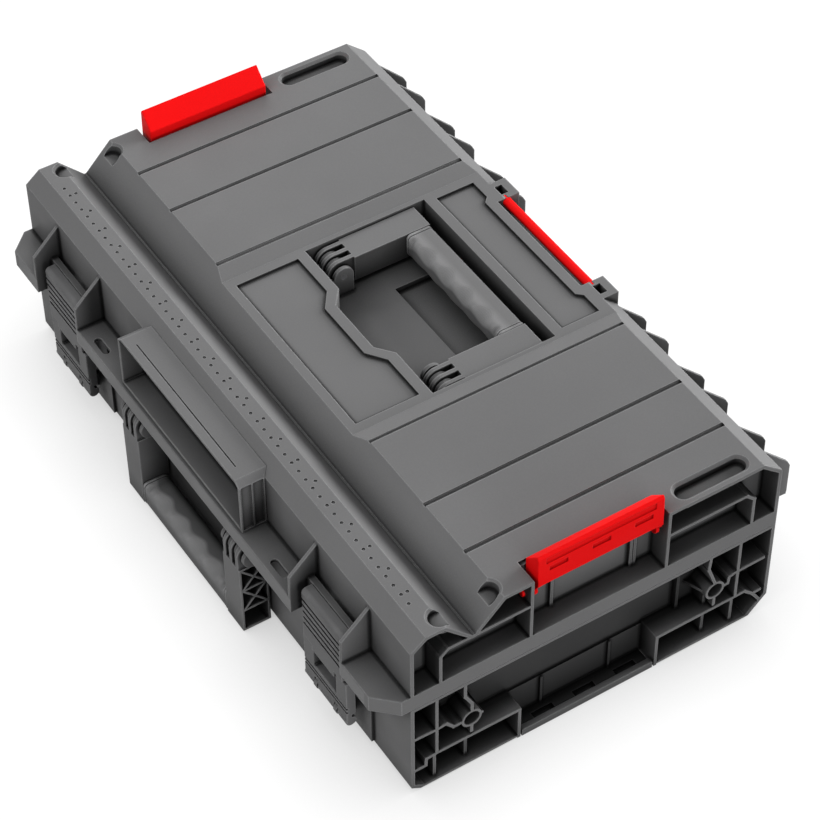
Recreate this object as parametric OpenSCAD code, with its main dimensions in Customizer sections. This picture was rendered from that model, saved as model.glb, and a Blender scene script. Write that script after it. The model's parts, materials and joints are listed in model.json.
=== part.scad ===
// Hard tool case with a hinged lid, two front latches, two carry handles and two red end latches.
// Length runs along X, the latches face -Y, the hinges are at +Y, and the base stands on z = 0.

/* [Case] */
// Length of the case, end to end
case_l = 585; // [560:5:620]
// Depth of the case between the outsides of its front and back walls
case_w = 327.2; // [320:0.4:340]
// Height of the base, from the ground to the seam
base_h = 99.2; // [96:0.2:106]
// Height of the lid, from the seam to the top plate
lid_h = 75.4; // [73:0.2:84]
// Thickness of the moulded walls
wall = 3; // [2.6:0.1:3.4]
// Thickness of the ribs in the end bays
rib = 2.6; // [2:0.1:3.2]
// Gap at the seam between the base and the lid
seam_gap = 0.4; // [0.3:0.05:0.6]
// Depth of the open bays at both ends
end_depth = 19; // [17:0.5:22]
// Reach of the front handle and of the hinge ears beyond the front and back walls
reach = 27; // [26:0.5:30]

/* [Belt] */
// Height of the belt along the lower edge of the lid
belt_h = 15.4; // [14:0.2:17]
// Reach of the belt in front of the front wall
belt_reach = 24.9; // [24:0.1:25.5]
// Length of the slots in the front belt
belt_slot_l = 20; // [14:1:24]
// Width of the slots in the front belt
belt_slot_w = 6.5; // [5:0.5:8]

/* [Lid] */
// Fall of the middle panel below the top plate
panel_drop = 5; // [4:0.25:6]
// Half length of the flat of the middle panel
panel_half = 97.7; // [97:0.1:100]
// Width of the lead-in slope at both sides of the middle panel
panel_slope = 16.1; // [12:0.1:18]
// Width of the grooves across the top plate
groove_w = 3.6; // [2:0.2:5]
// Depth of the grooves across the top plate
groove_deep = 1.5; // [0.8:0.1:1.8]
// Depth of the two fields sunk into the middle panel
field_deep = 2.2; // [1:0.1:2.6]
// Half length of the open holder on the front of the lid
holder_half = 94; // [88:1:98]

/* [Hinges] */
// Radius of the hinge pins
hinge_pin_r = 3; // [2.5:0.1:3.5]
// Height of the hinge axis above the lower edge of the lid
hinge_rise = 7.4; // [6:0.1:9]
// Distance from the hinge axis to the back of the ears
hinge_edge = 10.5; // [9.5:0.1:11]
// Thickness of one hinge ear
ear_t = 3; // [2.4:0.1:4]
// Half of the distance between the two ears of a hinge
ear_half = 15; // [12:0.5:16]
// Distance from the middle of the case to its first hinge
hinge_first = 100.5; // [99:0.5:104]
// Distance from the end of the case to its last hinge
hinge_end = 38; // [34:1:42]

/* [Front latches] */
// Distance from the end of the case to the middle of a front latch
latch_end = 90.5; // [86:0.5:94]
// Width of a front latch
latch_w = 60; // [54:1:62]
// Thickness of the frame of a front latch
latch_t = 8; // [7:0.5:9]
// Distance between the two pins of a front latch
latch_link = 40.8; // [38:0.2:43]
// Radius of the pins of a front latch
latch_pin_r = 2.2; // [1.8:0.1:2.6]

/* [Carry handles] */
// Width of a carry handle over its two arms
handle_w = 185; // [178:1:186]
// Width of one arm of a carry handle
arm_w = 25; // [22:0.5:26]
// Thickness of a carry handle
handle_t = 25; // [22:0.5:25]
// Width of the grip, from the finger side to the outer edge
grip_w = 23.5; // [20:0.5:25]
// Radius of the handle pins
handle_pin_r = 2.5; // [2:0.1:3]

/* [End latches] */
// Half width of a red end latch
end_latch_half = 55; // [52:0.5:57]
// Height of a red end latch above the top plate
end_latch_rise = 20; // [18:0.5:24]
// Radius of the stubs that a red end latch turns on
end_latch_pin_r = 3; // [2.5:0.1:3.5]

/* [Rear bar] */
// Radius of the red bar at the back
bar_r = 4; // [3:0.25:4.5]
// Half of the free length of the red bar
bar_half = 58.5; // [54:0.5:60]

/* [Hidden] */
$fn = 48;

// Overrun of every cut past the face that it opens, and of every joined piece into its carrier
over = 0.5;
// Play of a pin in its bore, and of a piece seated in its own carrier
pin_play = 0.05;
// Gap between pieces that move past each other
move_gap = 0.5;

// Colours of the pieces
body_grey = [0.37, 0.37, 0.38];
dark = [0.33, 0.33, 0.34];
grip_grey = [0.3, 0.3, 0.31];
seal_black = [0.1, 0.1, 0.1];
red = [0.9, 0.07, 0.07];
steel = [0.7, 0.7, 0.72];

// Ends, walls and levels of the case
half_l = case_l / 2;
half_w = case_w / 2;
lid_z = base_h + seam_gap;
top_z = lid_z + lid_h;
lid_wall_x = half_l - end_depth;
// Step between the end wall of the lid and the one of the base
wall_step = 2;
base_wall_x = lid_wall_x - wall_step;

// Rim round the mouths of the base and the lid, which carries the seal
rim_w = 8;
rim_h = belt_h - wall;
seal_inset = 2;
seal_w = 4;
seal_h = 3;
seal_corner = 9;

// Corner cuts of the base
base_front_cut = [10.3, 6.7];
base_back_cut = 18;

// Outline of the lid, as distances from its front, its back and its top plate
ridge_drop = 1.1;
front_wall_drop = 11.4;
front_cut = 13.1;
ridge_w = 17;
valley_run = 23.3;
valley_drop = 24.7;
valley_flat = 1.8;
slope_run = 25.5;
back_cut = [18.1, 15.6];
ridge_front_y = -half_w + front_cut;
ridge_back_y = ridge_front_y + ridge_w;
valley_y = ridge_back_y + valley_run;
slope_top_y = valley_y + slope_run;
plate_back_y = half_w - back_cut[0];

// Grooves across the top plate, as shares of the half length
groove_shares = [0.389, 0.6455, 0.8277];

// Belt
belt_corner = [17, 17.4];
belt_top = lid_z + belt_h;

// Dimples along the ridge: a fine row and a coarse row
dimple_r = 1.4;
dimple_deep = 0.5;
dimple_rows = [[10, 6.5], [25, 11.8]];
dimple_end = 30;

// Hinge axis, knuckles and ears
hinge_y = half_w + reach - hinge_edge;
hinge_z = lid_z + hinge_rise;
hinge_pitch = (half_l - hinge_end - hinge_first) / 2;
knuckle_r = 7;
knuckle_root = 30;
ear_low = 9;
ear_fall = 30;
ear_corner = 5;
hinge_places = [for (side = [-1, 1], k = [0 : 2]) side * (hinge_first + k * hinge_pitch)];

// Front latches: axis heights, faces and the rail that the lever closes on
latch_x = half_l - latch_end;
frame_pin_drop = 68;
frame_pin_z = base_h - frame_pin_drop;
lever_pin_z = frame_pin_z + latch_link;
latch_back_gap = 10.4;
latch_pin_y = -half_w - latch_back_gap - latch_t / 2 + move_gap;
latch_front_y = latch_pin_y - latch_t / 2;
latch_back_y = latch_pin_y + latch_t / 2;
latch_arm_w = 14;
latch_arm_top = 4;
latch_window_low = 20.8;
latch_plate_low = 7;
latch_barrel_r = 4.5;
latch_ear_t = 4;
latch_ear_x = 14;
latch_ear_r = 5.2;
lever_inset = 3;
lever_low = 6;
lever_proud = 1.5;
lever_round = 4;
lever_groove = [2.2, 1.6];
lever_groove_pitch = 6.4;
lever_groove_top = 10;
frame_groove = [1.6, 1.4];
rail_low = 22;
rail_h = 8;
rail_t = 5.5;
rail_y = latch_back_y + move_gap;
lever_top = lid_z + rail_low + rail_h + move_gap;
gusset_t = 3;
gusset_half = 35.75;
gusset_drop = 14.6;
gusset_run = 24.3;
gusset_fall = 23;
pad_side = 9;
pad_t = 2.5;
pad_low = 8;

// Carry handles, measured from their pins: along the arms, and from the axis to the outer face
handle_half = handle_w / 2;
handle_skin = 11;
arm_start = 13;
floor_gap = 1;
front_pin_drop = 13.7;
front_pin_z = base_h - front_pin_drop;
front_pin_y = -half_w - reach + handle_skin;
handle_reach = front_pin_z - floor_gap;
grip_core = 10;
grip_round = 9;
grip_edge_round = 3;
grip_end_gap = 0.3;
scallop_deep = 2.6;
scallop_w = 14;
scallop_pitch = 26.7;
scallop_shares = [-1.5, -0.5, 0.5, 1.5];
finger_t = 4;
finger_shares = [0.14, 0.5, 0.86];
neck_low = 4;
bracket_t = 3.4;
bracket_r = 9;
bracket_shares = [-0.12, 0.32, 0.68];
bracket_end = 2.9;
arm_pocket = 18;
truss_t = 2;

// Pocket of the top handle
top_pin_drop = 18;
top_pin_z = top_z - top_pin_drop;
top_pin_y = 1.2;
pocket_play = 1;
pocket_front = 17.2;
pocket_nose = 11.6;
pocket_nose_shares = [0.294, 0.45];
pocket_back_gap = 10.6;
pocket_half = handle_half + pocket_play;
pocket_deep = 37;
pocket_floor = top_z - pocket_deep;
pocket_back = top_pin_y + handle_reach + pocket_back_gap;
pocket_front_y = top_pin_y - pocket_front;
trough_deep = 6;
trough_half = 46;
trough_front = 37;
panel_z = top_z - panel_drop;
field_half = 89;
field_rim = 9.3;
field_front = 2.8;
field_back_rim = 4.5;
field_step = 5;
panel_slab = 5;

// Slots and holes at the corners of the top plate, with sloping rims and thin cups below
oblong = [13.4, 63];
oblong_deep = 8;
oblong_back = 8.7;
oblong_rim = 2.2;
oblong_x = half_l - 13;
oblong_y = plate_back_y - oblong_back - oblong[1] / 2;
scoop_r = 8.2;
scoop_rim = 1.8;
scoop_floor = 9.5;
scoop_in = 5.3;
ridge_scoop_x = half_l - 11.5;
ridge_scoop_back = 1;
ridge_scoop_floor = 6;
cup_wall = 2;

// Rear bar and its lugs
bar_y = half_w - 9.6;
bar_z = top_z - 9;
bar_seat = 4;
bar_notch_front = 9.5;
bar_notch_deep = 25;
lug_w = 21.5;
lug_back = 2.4;
lug_top = 5;
lug_hole = [10.5, 6.5];
lug_hole_in = 5.5;

// Holder on the front of the lid
holder_t = 2.5;
holder_drop = 7;
holder_cut = [6.5, 4.5];
holder_front = 22.4;
holder_line = 7.5;
holder_line_w = 0.6;
holder_line_half = 76;
holder_rib = 1.8;
holder_side_deep = 1.2;
holder_seat = 0.1;

// End latches: axis and section, from the end of the case and the top plate
end_pin_x = half_l - 10.5;
end_pin_z = top_z - 20;
end_latch_t = 2.6;
end_latch_low = 10;
end_latch_inner = 6.5;
end_latch_out = 1;
end_latch_in = 17.5;
end_latch_boss = 5.5;
end_cheek = 3;
end_stub_proud = 2;
end_notch_gap = 4;
end_notch_in = 21.7;
end_notch_deep = 2;
end_slot_long = [48, 5.8];
end_slot_short = [7.9, 4.2];
end_slot_pitch = 37.3;
end_slot_low = 10.3;
end_slot_gap = 3.9;
end_slot_in = end_latch_out + end_latch_t * 2 / 3;
end_rib_y = end_latch_half + end_notch_gap + rib / 2;

// Ribs of the end bays, as shares of the depth of the case and of the height of the shell
lid_rib_shares = [
    [[-0.422, 0.18], [-0.422, 0.577], [-0.402, 0.655], [-0.185, 0.655]],
    [[0.185, 0.66], [0.403, 0.66], [0.426, 0.562], [0.426, 0.18]]];
bay_rib_shares = [-0.101, 0.115, 0.125];
bay_rib_deep = 3;
base_rib_shares = [
    [[-0.432, 0.343], [-0.432, 0.985]],
    [[-0.495, 0.634], [-0.432, 0.625], [-0.4065, 0.635], [-0.3866, 0.554], [-0.364, 0.554]],
    [[-0.357, 0.985], [-0.357, 0.84], [-0.3385, 0.72], [-0.3385, 0.635]],
    [[-0.495, 0.258], [-0.4615, 0.258], [-0.4603, 0.333], [-0.432, 0.343]],
    [[-0.432, 0.343], [-0.2078, 0.339], [-0.2078, 0.015]],
    [[-0.339, 0.45], [-0.339, 0.395]],
    [[-0.318, 0.555], [-0.3123, 0.558]],
    [[0.402, 0.345], [0.402, 0.985]],
    [[0.177, 0.015], [0.177, 0.339], [0.402, 0.345], [0.4303, 0.348], [0.4554, 0.27], [0.477, 0.272]],
    [[0.4554, 0.27], [0.481, 0.139]],
    [[0.364, 0.5615], [0.375, 0.5645], [0.3777, 0.631], [0.397, 0.648], [0.477, 0.653]],
    [[0.317, 0.985], [0.3135, 0.847], [0.336, 0.645]],
    [[0.3377, 0.46], [0.3377, 0.395]]];
base_low_rib_shares = [[[-0.432, 0.02], [-0.432, 0.343]], [[0.402, 0.02], [0.402, 0.345]]];
low_rib_in = 3.5;
base_deep_rib_shares = [[[-0.341, 0.02], [-0.341, 0.455]], [[0.327, 0.02], [0.327, 0.478]]];
deep_rib_reach = 13.7;
base_wall_rib_shares = [[[0.2647, 0.31], [0.2647, 0.985]]];
wall_rib_reach = 5.5;
boss_shares = [[-0.339, 0.548], [0.3377, 0.5595]];
boss_r = 6.8;
boss_t = 2;
boss_web = [15.5, 2];
end_chamfer = 1.5;

// Notch in the bottom of a base end, with its ledge and its slotted lip
notch_shares = [-0.2058, 0.175];
notch_gap = 2.1;
ledge_share = 0.333;
ledge_rib = 2;
ledge_rib_shares = [-0.1125, 0.0785];
lip_bar = [4.8, 6.6];
lip_slot = [6.5, 19];
lip_slot_in = 8.85;
lip_slot_deep = 2.4;
lip_slot_shares = [-0.122, -0.0065, 0.1095];

// Length of a vector made one
function unit(v) = v / norm(v);
// Normal of an edge, into a counter-clockwise outline
function edge_normal(a, b) = let (d = unit(b - a)) [-d[1], d[0]];
// Corner b of an outline, moved in by t
function inset_corner(a, b, c, t) =
    let (n = edge_normal(a, b), m = edge_normal(b, c)) b + t * (n + m) / (1 + n * m);
// Counter-clockwise outline, moved in by t
function inset(p, t) = [for (i = [0 : len(p) - 1])
    inset_corner(p[(i + len(p) - 1) % len(p)], p[i], p[(i + 1) % len(p)], t)];

// Side outline of the base up to height z
function base_outline(z) = [
    [-half_w + base_front_cut[0], 0], [half_w - base_back_cut, 0], [half_w, base_back_cut],
    [half_w, z], [-half_w, z], [-half_w, base_front_cut[1]]];

// Side outline of the lid from height z up
function lid_outline(z) = [
    [-half_w, z], [half_w, z], [half_w, top_z - back_cut[1]], [plate_back_y, top_z], [slope_top_y, top_z],
    [valley_y + valley_flat / 2, top_z - valley_drop], [valley_y - valley_flat / 2, top_z - valley_drop],
    [ridge_back_y, top_z - ridge_drop], [ridge_front_y, top_z - ridge_drop],
    [-half_w, top_z - front_wall_drop]];

// Outline of the belt, seen from above
function belt_outline() = [
    [-half_l + belt_corner[0], -half_w - belt_reach], [half_l - belt_corner[0], -half_w - belt_reach],
    [half_l, -half_w - belt_reach + belt_corner[1]], [half_l, half_w], [-half_l, half_w],
    [-half_l, -half_w - belt_reach + belt_corner[1]]];

// Outline of the handle pocket, seen from above, for a wall of thickness t beside it
function pocket_outline(t) = [
    [-pocket_half - t, pocket_front_y - t],
    [-pocket_half * pocket_nose_shares[1] - t / 2, pocket_front_y - t],
    [-pocket_half * pocket_nose_shares[0] - t / 2, pocket_front_y - pocket_nose - t],
    [pocket_half * pocket_nose_shares[0] + t / 2, pocket_front_y - pocket_nose - t],
    [pocket_half * pocket_nose_shares[1] + t / 2, pocket_front_y - t],
    [pocket_half + t, pocket_front_y - t],
    [pocket_half + t, pocket_back + t], [-pocket_half - t, pocket_back + t]];

// Outline of the front field, which follows the nose of the pocket
function front_field() = [
    [-field_half, slope_top_y + field_front], [field_half, slope_top_y + field_front],
    [field_half, pocket_front_y - field_rim],
    [pocket_half * pocket_nose_shares[1] + field_rim / 3, pocket_front_y - field_rim],
    [pocket_half * pocket_nose_shares[0] + field_rim / 6, pocket_front_y - pocket_nose - field_rim],
    [-pocket_half * pocket_nose_shares[0] - field_rim / 6, pocket_front_y - pocket_nose - field_rim],
    [-pocket_half * pocket_nose_shares[1] - field_rim / 3, pocket_front_y - field_rim],
    [-field_half, pocket_front_y - field_rim]];

// Outline of the back field, which steps round the red bar
function back_field() = [
    [-field_half, pocket_back + field_rim], [field_half, pocket_back + field_rim],
    [field_half, plate_back_y - field_back_rim],
    [bar_half + 2 * field_step, plate_back_y - field_back_rim],
    [bar_half + field_step, plate_back_y - field_back_rim - field_step],
    [-bar_half - field_step, plate_back_y - field_back_rim - field_step],
    [-bar_half - 2 * field_step, plate_back_y - field_back_rim],
    [-field_half, plate_back_y - field_back_rim]];

// Section of an end latch above height z
function end_latch_section(z) = [
    [half_l - end_latch_in, z], [half_l - end_latch_out, z],
    [half_l - end_latch_out - end_latch_t / 3, top_z + end_latch_rise - end_latch_t],
    [half_l - end_latch_out - end_latch_t, top_z + end_latch_rise],
    [half_l - end_latch_in, top_z + end_latch_inner]];

// Hollow of an end latch, between its outer wall, its sloping top and its inner wall
function end_latch_hollow() = let (
    slope = (end_latch_rise - end_latch_inner) / (end_latch_in - end_latch_out - end_latch_t))
    inset([
        [half_l - end_latch_in, top_z - 2 * end_latch_low],
        [half_l - end_latch_out, top_z - 2 * end_latch_low],
        [half_l - end_latch_out, top_z + end_latch_rise + slope * end_latch_t],
        [half_l - end_latch_in, top_z + end_latch_inner]], end_latch_t);

// Cheek of an end latch, which closes its section and reaches down into its boss
function end_latch_cheek() = [
    [end_pin_x - end_latch_boss / 2, end_pin_z], [end_pin_x + end_latch_boss / 2, end_pin_z],
    for (i = [1 : 4]) end_latch_section(top_z - end_latch_low)[i],
    [half_l - end_latch_in, top_z - end_latch_low]];

// Solid with the drawn side outline, between x0 and x1
module along_x(x0, x1) {
    translate([x0, 0, 0]) rotate([90, 0, 90]) linear_extrude(x1 - x0) children();
}

// Solid with the drawn end outline, between y0 and y1
module along_y(y0, y1) {
    translate([0, y1, 0]) rotate([90, 0, 0]) linear_extrude(y1 - y0) children();
}

// Solid with the outline drawn from above, between z0 and z1
module along_z(z0, z1) {
    translate([0, 0, z0]) linear_extrude(z1 - z0) children();
}

// Box between two corners
module box(low, high) {
    translate(low) cube(high - low);
}

// The child at both ends of the case
module both_ends() {
    children();
    mirror([1, 0, 0]) children();
}

// Straight bar of width t in an outline, from p to q
module bar_2d(p, q, t) {
    d = q - p;
    translate(p) rotate(atan2(d[1], d[0])) translate([-t / 2, -t / 2]) square([norm(d) + t, t]);
}

// Bars through a list of shares of the case depth and of a height h above z
module rib_path(shares, z, h) {
    points = [for (s = shares) [s[0] * case_w, z + s[1] * h]];
    for (i = [0 : len(points) - 2]) bar_2d(points[i], points[i + 1], rib);
}

// Square with round corners, about the middle
module round_rect(size, r) {
    square([size[0] - 2 * r, size[1]], center = true);
    square([size[0], size[1] - 2 * r], center = true);
    for (sx = [-1, 1], sy = [-1, 1])
        translate([sx * (size[0] / 2 - r), sy * (size[1] / 2 - r)]) circle(r);
}

// Slot with round ends along Y, about the middle
module oblong_2d(size) {
    square([size[0], size[1] - size[0]], center = true);
    for (s = [-1, 1]) translate([0, s * (size[1] - size[0]) / 2]) circle(size[0] / 2);
}

// Ring of the seal, wider and taller by play, from z = low up
module seal_ring(play, low) {
    outer = [2 * (lid_wall_x - seal_inset + play), 2 * (half_w - seal_inset + play)];
    inner = outer - 2 * (seal_w + 2 * play) * [1, 1];
    along_z(low, lid_z + seal_h + play) difference() {
        round_rect(outer, seal_corner);
        round_rect(inner, seal_corner - seal_w);
    }
}

// Frame round one end bay of the base, with its notch and the chamfer of its bottom edge
module base_end_frame() {
    difference() {
        along_x(base_wall_x - over, half_l) difference() {
            polygon(base_outline(base_h));
            polygon(inset(base_outline(base_h), wall));
            translate([notch_shares[0] * case_w, -over])
                square([(notch_shares[1] - notch_shares[0]) * case_w, wall + 2 * over]);
        }
        along_y(-half_w - over, half_w + over)
            polygon([[half_l - end_chamfer - over, -over], [half_l + over, -over],
                [half_l + over, end_chamfer + over]]);
    }
}

// Ribs and bosses of one end bay of the base
module base_end_ribs() {
    along_x(base_wall_x - over, half_l) {
        for (path = base_rib_shares) rib_path(path, 0, base_h);
        for (s = boss_shares) translate([s[0] * case_w, s[1] * base_h]) difference() {
            circle(boss_r + boss_t);
            circle(boss_r);
        }
    }
    along_x(base_wall_x - over, half_l - low_rib_in)
        for (path = base_low_rib_shares) rib_path(path, 0, base_h);
    along_x(base_wall_x - over, base_wall_x + deep_rib_reach)
        for (path = base_deep_rib_shares) rib_path(path, 0, base_h);
    along_x(base_wall_x - over, base_wall_x + wall_rib_reach)
        for (path = base_wall_rib_shares) rib_path(path, 0, base_h);
    boss_y = boss_shares[1][0] * case_w;
    boss_z = boss_shares[1][1] * base_h;
    along_z(boss_z - rib / 2, boss_z + rib / 2)
        polygon([[base_wall_x - over, boss_y], [base_wall_x - over, boss_y - boss_web[0]],
            [half_l - boss_web[1], boss_y - boss_r - boss_t / 2], [half_l - boss_web[1], boss_y]]);
}

// Ledge and lip in the notch of one end of the base
module base_end_notch() {
    first_y = notch_shares[0] * case_w;
    last_y = notch_shares[1] * case_w;
    box([base_wall_x - over, first_y, 0], [lid_wall_x, last_y, ledge_share * base_h]);
    for (s = ledge_rib_shares)
        box([base_wall_x, s * case_w - ledge_rib / 2, 0],
            [lid_wall_x + ledge_rib, s * case_w + ledge_rib / 2, ledge_share * base_h]);
    box([half_l - lip_bar[0], first_y + notch_gap, 0], [half_l, last_y - notch_gap, lip_bar[1]]);
    difference() {
        box([base_wall_x - over, first_y + notch_gap, 0], [half_l - over, last_y - notch_gap, wall]);
        for (s = lip_slot_shares)
            translate([half_l - lip_slot_in, s * case_w, wall])
                cube([lip_slot[0], lip_slot[1], 2 * lip_slot_deep], center = true);
    }
}

// Bores of the end bosses of the base, down into the end wall
module base_end_bores() {
    for (s = boss_shares)
        translate([base_wall_x + over, s[0] * case_w, s[1] * base_h])
            rotate([0, 90, 0]) cylinder(r = boss_r, h = end_depth + wall_step);
}

// Plates on both sides of the fingers of a handle, round a pin at the origin, down to root
module handle_brackets(front, root, last) {
    for (s = concat(bracket_shares, [last])) {
        x = handle_half - arm_w + s * arm_w;
        along_x(x - bracket_t / 2, x + bracket_t / 2) {
            circle(bracket_r);
            translate([-front, -root]) square([front + bracket_r, root]);
        }
    }
}

// Knuckle of the base between the ears of a hinge
module hinge_knuckle() {
    width = ear_half - ear_t / 2 - move_gap;
    along_x(-width, width) {
        translate([hinge_y, hinge_z]) circle(knuckle_r);
        polygon([[half_w - over, base_h - knuckle_root], [hinge_y + knuckle_r / 2, hinge_z - knuckle_r],
            [hinge_y - knuckle_r / 2, hinge_z + knuckle_r / 2], [half_w + over, base_h - over],
            [half_w - over, base_h - over]]);
    }
}

// Two ears of the base that hold the lower pin of a front latch
module latch_ears() {
    for (s = [-1, 1])
        along_x(s * latch_ear_x - latch_ear_t / 2, s * latch_ear_x + latch_ear_t / 2) {
            translate([latch_pin_y, frame_pin_z]) circle(latch_ear_r);
            polygon([[latch_pin_y, frame_pin_z - latch_ear_r],
                [-half_w + over, frame_pin_z - 2 * latch_ear_r],
                [-half_w + over, frame_pin_z + latch_ear_r], [latch_pin_y, frame_pin_z + latch_ear_r]]);
        }
}

module base_shell() {
    color(body_grey) difference() {
        union() {
            difference() {
                union() {
                    along_x(-base_wall_x, base_wall_x) polygon(base_outline(base_h));
                    both_ends() {
                        base_end_frame();
                        base_end_ribs();
                        base_end_notch();
                    }
                }
                along_x(-base_wall_x + wall, base_wall_x - wall)
                    polygon(inset(base_outline(base_h - rim_h + wall), wall));
                box([-base_wall_x + rim_w, -half_w + rim_w, base_h - rim_h - over],
                    [base_wall_x - rim_w, half_w - rim_w, base_h + over]);
            }
            both_ends() {
                box([latch_x - latch_w / 2 - pad_side, -half_w - pad_t, pad_low],
                    [latch_x + latch_w / 2 + pad_side, -half_w + over, base_h]);
                translate([latch_x, 0, 0]) latch_ears();
                translate([0, front_pin_y, front_pin_z]) rotate([90, 0, 0])
                    handle_brackets(bracket_r, -front_pin_y - half_w + over, 1 + bracket_end / arm_w);
            }
            for (x = hinge_places) translate([x, 0, 0]) hinge_knuckle();
        }
        both_ends() {
            base_end_bores();
            translate([latch_x, latch_pin_y, frame_pin_z]) rotate([0, 90, 0])
                cylinder(r = latch_pin_r + pin_play, h = latch_w, center = true);
            translate([handle_half - 2 * arm_w, front_pin_y, front_pin_z]) rotate([0, 90, 0])
                cylinder(r = handle_pin_r + pin_play, h = 3 * arm_w);
        }
        for (x = hinge_places) translate([x, hinge_y, hinge_z]) rotate([0, 90, 0])
            cylinder(r = hinge_pin_r + pin_play, h = 2 * ear_half + 2 * ear_t, center = true);
    }
}

// Belt round the lower edge of the lid, hollow from below
module belt() {
    difference() {
        along_z(lid_z, belt_top) polygon(belt_outline());
        along_z(lid_z - over, belt_top - wall) polygon(inset(belt_outline(), wall));
    }
}

// One end bay of the lid
module lid_end() {
    along_x(lid_wall_x - over, half_l) {
        difference() {
            polygon(lid_outline(belt_top - wall));
            polygon(inset(lid_outline(belt_top - wall), wall));
        }
        for (path = lid_rib_shares) rib_path(path, lid_z, lid_h);
        for (s = [-1, 1])
            translate([s * end_rib_y - rib / 2, belt_top - over])
                square([rib, top_z - belt_top - wall + 2 * over]);
    }
    along_x(lid_wall_x - over, lid_wall_x + bay_rib_deep)
        for (s = bay_rib_shares)
            translate([s * case_w, belt_top - over]) square([rib, lid_h / 2]);
    intersection() {
        along_x(lid_wall_x - over, half_l - over) polygon(lid_outline(belt_top));
        union() {
            translate([oblong_x, oblong_y, 0]) along_z(top_z - oblong_deep - cup_wall, top_z)
                oblong_2d(oblong + 2 * cup_wall * [1, 1]);
            translate([oblong_x, slope_top_y - scoop_in, top_z - scoop_floor - cup_wall])
                cylinder(r = scoop_r + cup_wall, h = scoop_floor + cup_wall);
            translate([ridge_scoop_x, ridge_back_y + ridge_scoop_back, top_z - ridge_scoop_floor - cup_wall])
                cylinder(r = scoop_r + cup_wall, h = ridge_scoop_floor + cup_wall);
        }
    }
}

// Round hole down from height z, with a sloping rim
module scoop(z, deep) {
    translate([0, 0, z - deep]) cylinder(r = scoop_r, h = deep + over);
    translate([0, 0, z - scoop_rim])
        cylinder(r1 = scoop_r, r2 = scoop_r + scoop_rim + over, h = scoop_rim + over);
}

// Oblong slot in the top plate, with a sloping rim
module oblong_slot() {
    end_r = oblong[0] / 2;
    end_y = oblong[1] / 2 - end_r;
    wide = oblong_rim + over;
    along_z(top_z - oblong_deep, top_z + over) oblong_2d(oblong);
    for (s = [-1, 1])
        translate([0, s * end_y, top_z - oblong_rim]) cylinder(r1 = end_r, r2 = end_r + wide, h = wide);
    along_y(-end_y, end_y) polygon([[-end_r, top_z - oblong_rim], [end_r, top_z - oblong_rim],
        [end_r + wide, top_z + over], [-end_r - wide, top_z + over]]);
}

// Slots and scoops cut into one end of the lid, with the notch and the bores of the end latch
module lid_end_cuts() {
    translate([oblong_x, oblong_y, 0]) oblong_slot();
    translate([oblong_x, slope_top_y - scoop_in, 0]) scoop(top_z, scoop_floor);
    translate([ridge_scoop_x, ridge_back_y + ridge_scoop_back, 0]) scoop(top_z - ridge_drop, ridge_scoop_floor);
    box([half_l - end_notch_in, -end_latch_half - end_notch_gap, top_z - end_notch_deep],
        [half_l + over, end_latch_half + end_notch_gap, top_z + over]);
    box([lid_wall_x, -end_latch_half - end_notch_gap, top_z - wall - over],
        [half_l + over, end_latch_half + end_notch_gap, top_z]);
    for (s = [-1, 1]) translate([end_pin_x, s * end_rib_y, end_pin_z]) rotate([90, 0, 0])
        cylinder(r = end_latch_pin_r + pin_play, h = rib + 2 * over, center = true);
}

// Gussets beside a front latch, and the rail that its lever closes on
module latch_catch() {
    for (s = [-1, 1])
        along_x(s * gusset_half - gusset_t / 2, s * gusset_half + gusset_t / 2)
            polygon([[-half_w + over, lid_z], [-half_w + over, top_z - gusset_drop],
                [-half_w, top_z - gusset_drop], [-half_w - gusset_run, top_z - gusset_drop - gusset_fall],
                [-half_w - belt_reach, belt_top], [-half_w - belt_reach, lid_z]]);
    box([-gusset_half, rail_y, lid_z + rail_low], [gusset_half, rail_y + rail_t, lid_z + rail_low + rail_h]);
}

// Ear of the lid, with the eye that turns on the hinge pin
module hinge_ear() {
    along_x(-ear_t / 2, ear_t / 2) polygon([
        [half_w - over, lid_z], [hinge_y + hinge_edge - over, lid_z - ear_low / 4],
        [hinge_y + hinge_edge, lid_z + over], [hinge_y + hinge_edge, top_z - back_cut[1] - ear_fall],
        [hinge_y + hinge_edge - ear_corner / 2, top_z - back_cut[1] - ear_fall + ear_corner],
        [half_w - over, top_z - back_cut[1]]]);
}

// Lugs at the ends of the red bar
module bar_lug() {
    box([bar_half, plate_back_y - bar_r / 2, top_z - bar_notch_deep],
        [bar_half + lug_w, half_w + lug_back, top_z - lug_top]);
}

// Space inside the lid
module lid_cavity() {
    difference() {
        along_x(-lid_wall_x + wall, lid_wall_x - wall)
            polygon(inset(lid_outline(lid_z + rim_h - wall), wall));
        along_z(pocket_floor - wall, top_z) polygon(pocket_outline(wall));
        box([-trough_half - wall, top_pin_y + trough_front - wall, pocket_floor - trough_deep - wall],
            [trough_half + wall, pocket_back + wall, top_z]);
        box([-panel_half - panel_slope - wall, valley_y, panel_z - panel_slab],
            [panel_half + panel_slope + wall, half_w, top_z]);
        box([-bar_half - lug_w, plate_back_y - bar_notch_front + bar_seat, top_z - bar_notch_deep - wall],
            [bar_half + lug_w, half_w, top_z]);
    }
    box([-lid_wall_x + rim_w, -half_w + rim_w, lid_z - over],
        [lid_wall_x - rim_w, half_w - rim_w, lid_z + rim_h + over]);
}

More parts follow.
